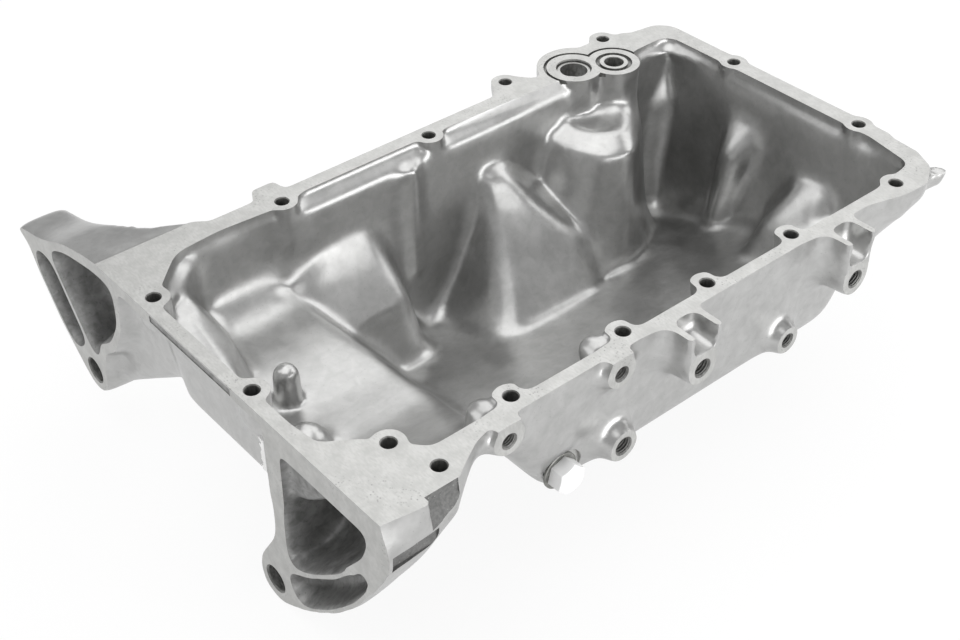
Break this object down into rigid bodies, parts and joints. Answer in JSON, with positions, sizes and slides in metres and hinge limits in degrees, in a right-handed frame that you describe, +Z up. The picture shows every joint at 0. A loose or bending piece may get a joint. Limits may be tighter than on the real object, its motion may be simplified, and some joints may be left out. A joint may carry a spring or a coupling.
{
  "type": "engine oil pan",
  "caption": "Die-cast engine oil pan with a deep sump, transmission ears, threaded side bosses, oil ports and a hexagon drain plug with its washer.",
  "frame": {"origin": "where the gasket face, the transmission face and the crank centre plane meet", "axes": "+X from the transmission face towards the timing end, +Y across the pan away from the side with the threaded bosses, +Z up out of the gasket face towards the engine block"},
  "size_m": [0.3908, 0.3252, 0.1223],
  "materials": {
    "casting": "satin",
    "plug": "satin",
    "washer": "satin"
  },
  "bodies": {
    "root": {"pan_casting": "casting", "drain_plug": "plug", "drain_washer": "washer"}
  },
  "joints": []
}
